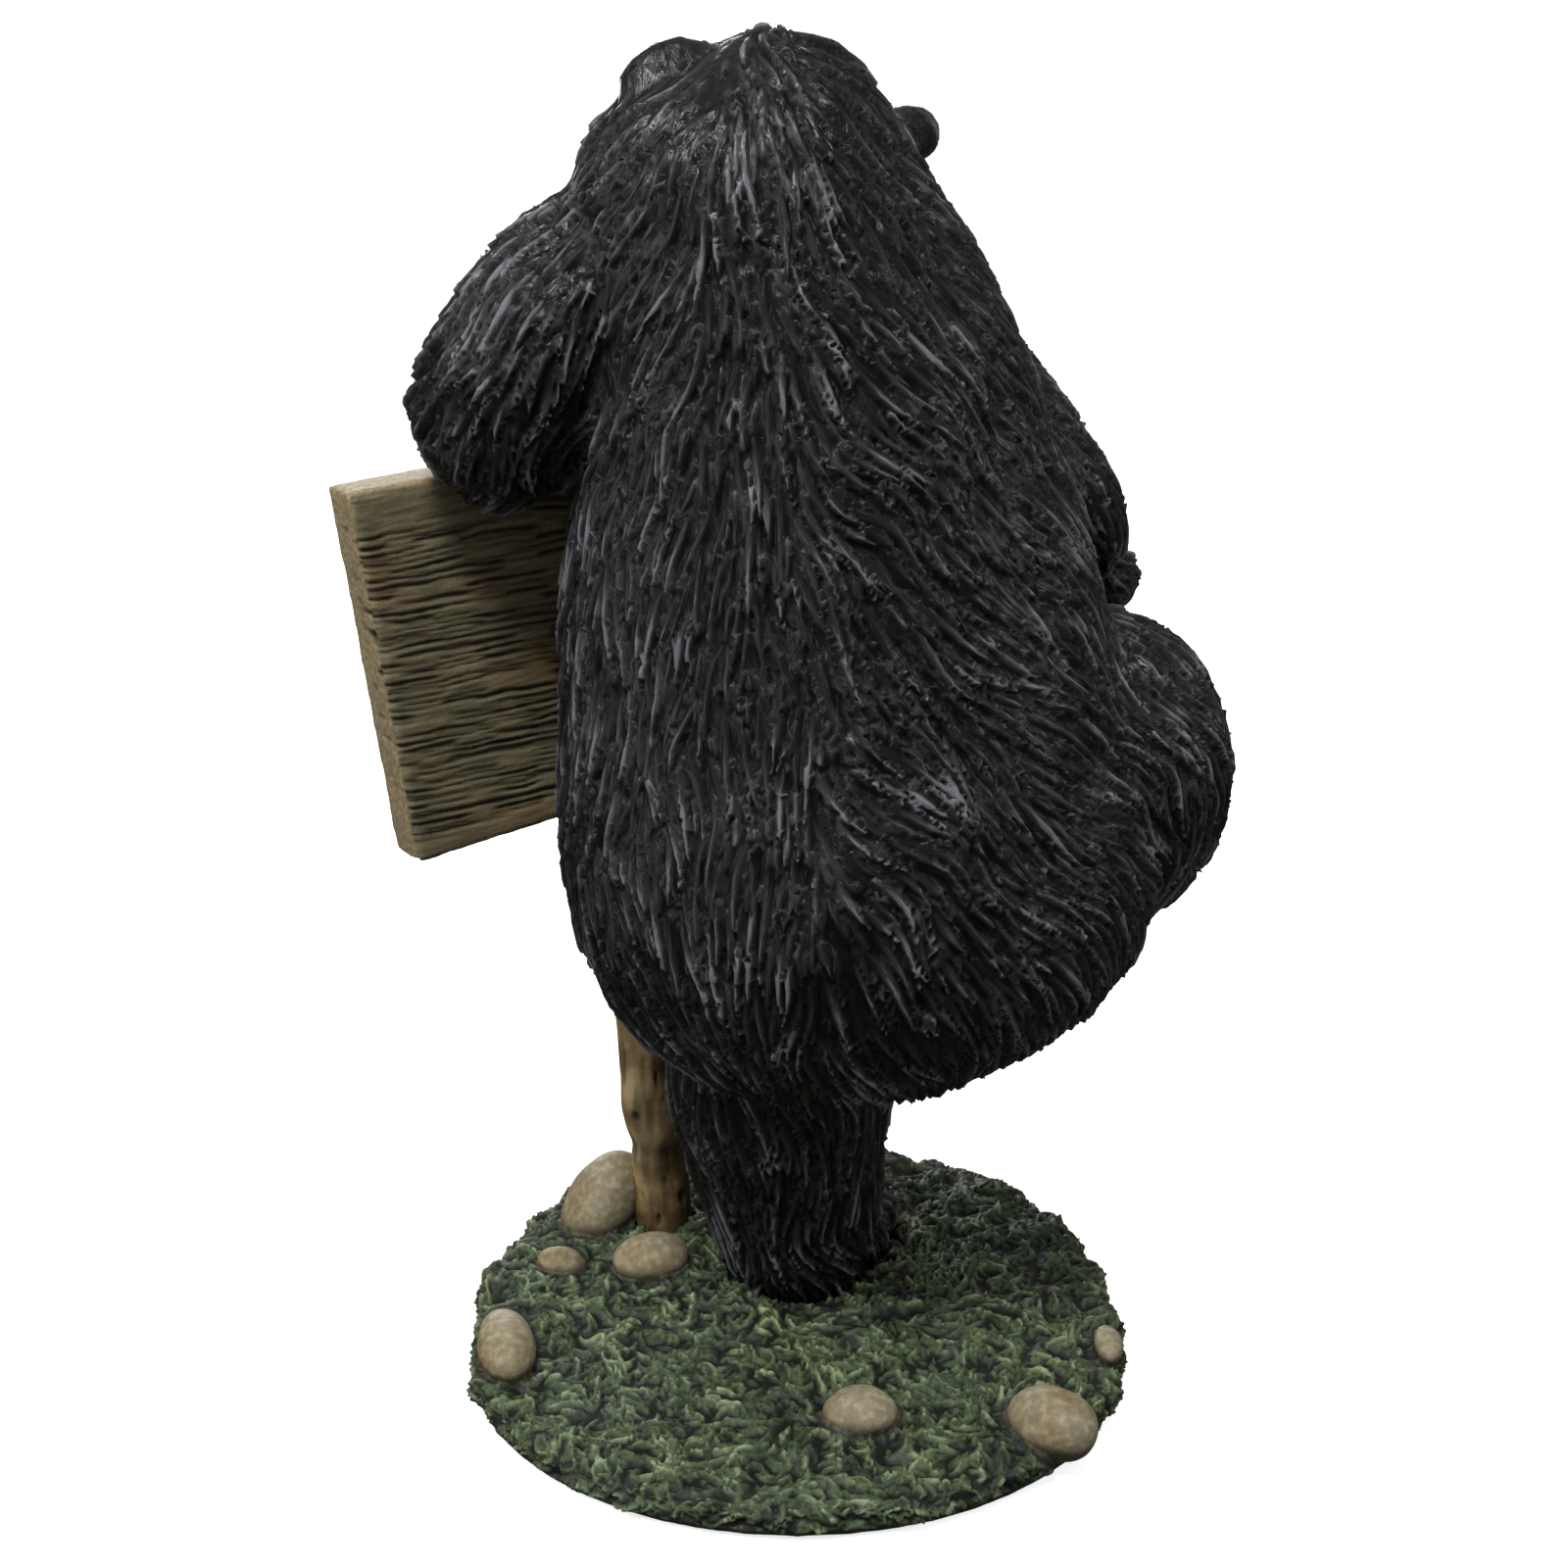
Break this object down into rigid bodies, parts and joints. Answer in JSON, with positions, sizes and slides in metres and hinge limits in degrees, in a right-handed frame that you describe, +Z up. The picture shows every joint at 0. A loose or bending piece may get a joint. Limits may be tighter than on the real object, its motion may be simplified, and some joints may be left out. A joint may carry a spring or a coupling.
{
  "type": "cast resin bear statue",
  "caption": "Garden statue of a standing black bear leaning an arm on a wooden notice board, on a round grass mound.",
  "frame": {"origin": "middle of the flat round underside of the grass base", "axes": "+Z up; the bear faces -Y, and its left side and the notice board are on +X"},
  "size_m": [0.2647, 0.202, 0.398],
  "materials": {
    "fur_paint": "black and grey dry-brushed paint on cast resin, semi-gloss",
    "wood_paint": "brown wood-look paint with dark wash on cast resin",
    "grass_paint": "dark green paint with light dry-brushed tips on cast resin"
  },
  "bodies": {
    "root": {"bear": "fur_paint", "notice_board": "wood_paint", "grass_base": "grass_paint"}
  },
  "joints": []
}
